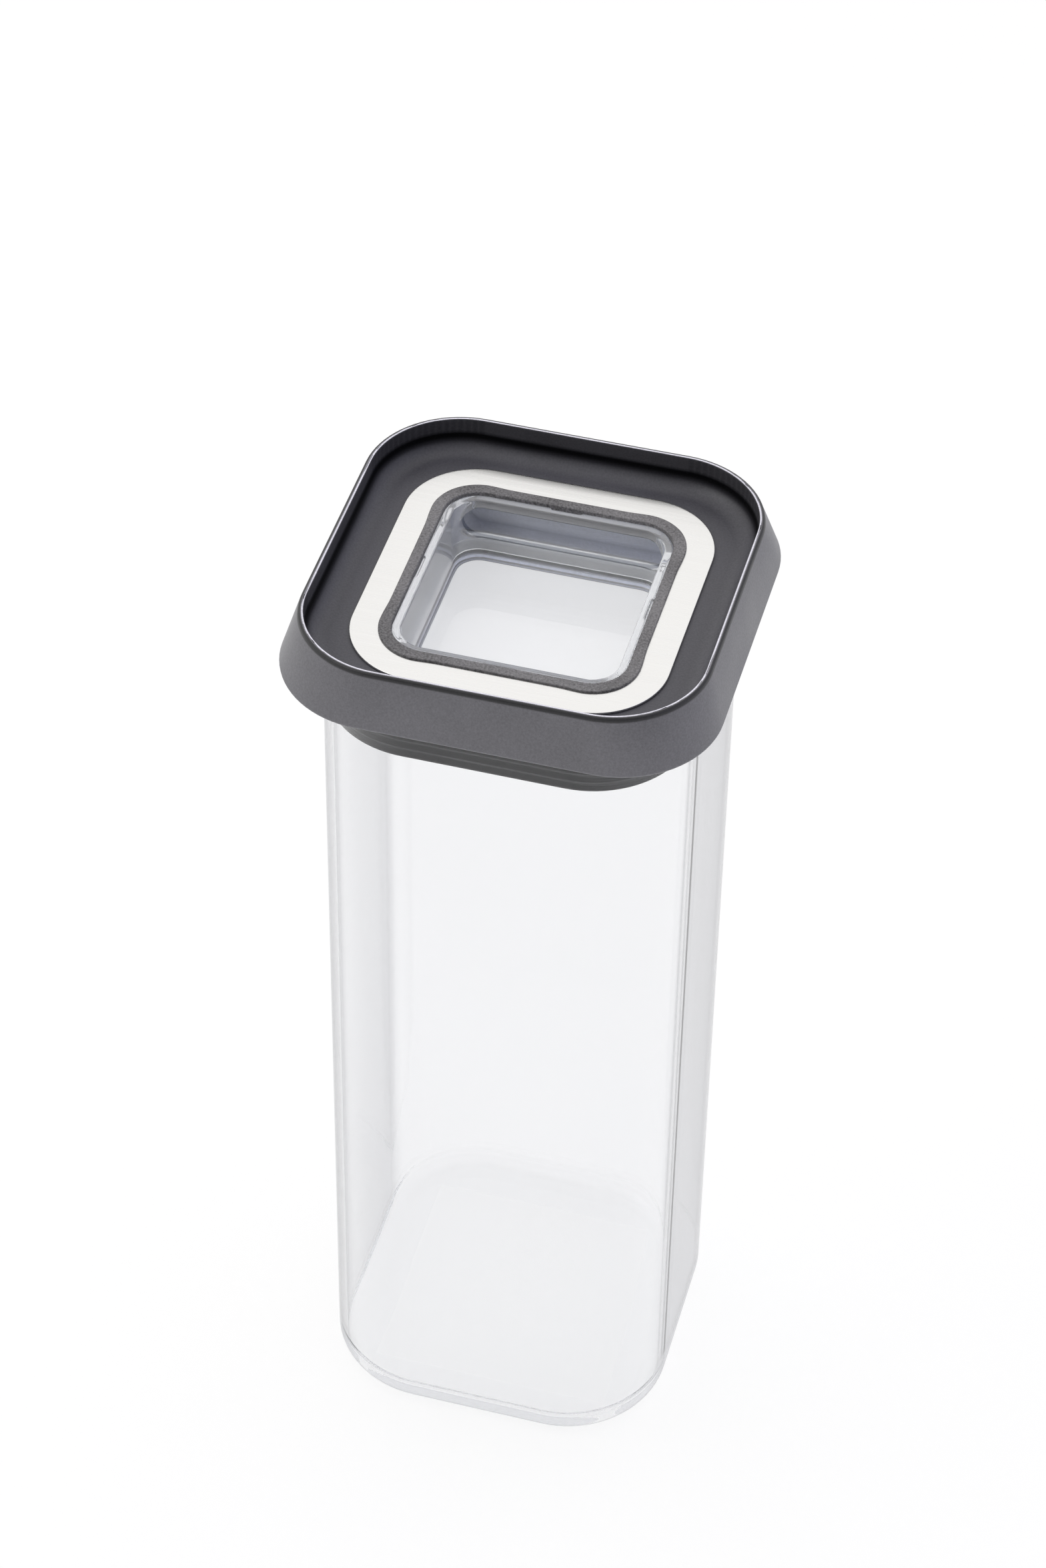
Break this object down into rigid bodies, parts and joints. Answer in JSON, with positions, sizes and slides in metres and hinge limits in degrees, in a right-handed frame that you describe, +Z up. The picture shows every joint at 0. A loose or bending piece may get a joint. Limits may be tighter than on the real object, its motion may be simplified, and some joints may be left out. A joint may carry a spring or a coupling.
{
  "type": "storage canister",
  "caption": "Tall square glass storage jar with rounded corners and a push-fit plastic lid that has a steel plate and a clear window cup with finger pockets.",
  "frame": {"origin": "middle of the jar's base, on the surface it stands on", "axes": "+Z up along the jar, the front faces -Y, +X to the right seen from the front; the finger pockets are at -Y and +Y"},
  "size_m": [0.1, 0.1, 0.25],
  "materials": {
    "jar_glass": "clear, smooth, fire-polished rim",
    "lid_plastic": "anthracite, fine spark-eroded texture",
    "plate_steel": "brushed in one direction, left to right",
    "bonding_tape": "matt foam tape",
    "frame_plastic": "dark grey, coarse spark-eroded texture",
    "clear_plastic": "clear, high gloss",
    "gasket_rubber": "translucent grey silicone",
    "plug_plastic": "black, satin",
    "seal_rubber": "dark grey silicone"
  },
  "bodies": {
    "jar": {"glass_jar": "jar_glass"},
    "lid": {"lid_shell": "lid_plastic", "steel_ring": "plate_steel", "ring_adhesive": "bonding_tape", "window_bezel": "frame_plastic", "window_cup": "clear_plastic", "window_gasket": "gasket_rubber", "seal_collar": "plug_plastic", "silicone_seal": "seal_rubber"}
  },
  "joints": [
    {"name": "lid_lift", "type": "slide", "parent": "jar", "child": "lid", "axis": [0, 0, 1], "range_m": [0, 0.06]}
  ]
}
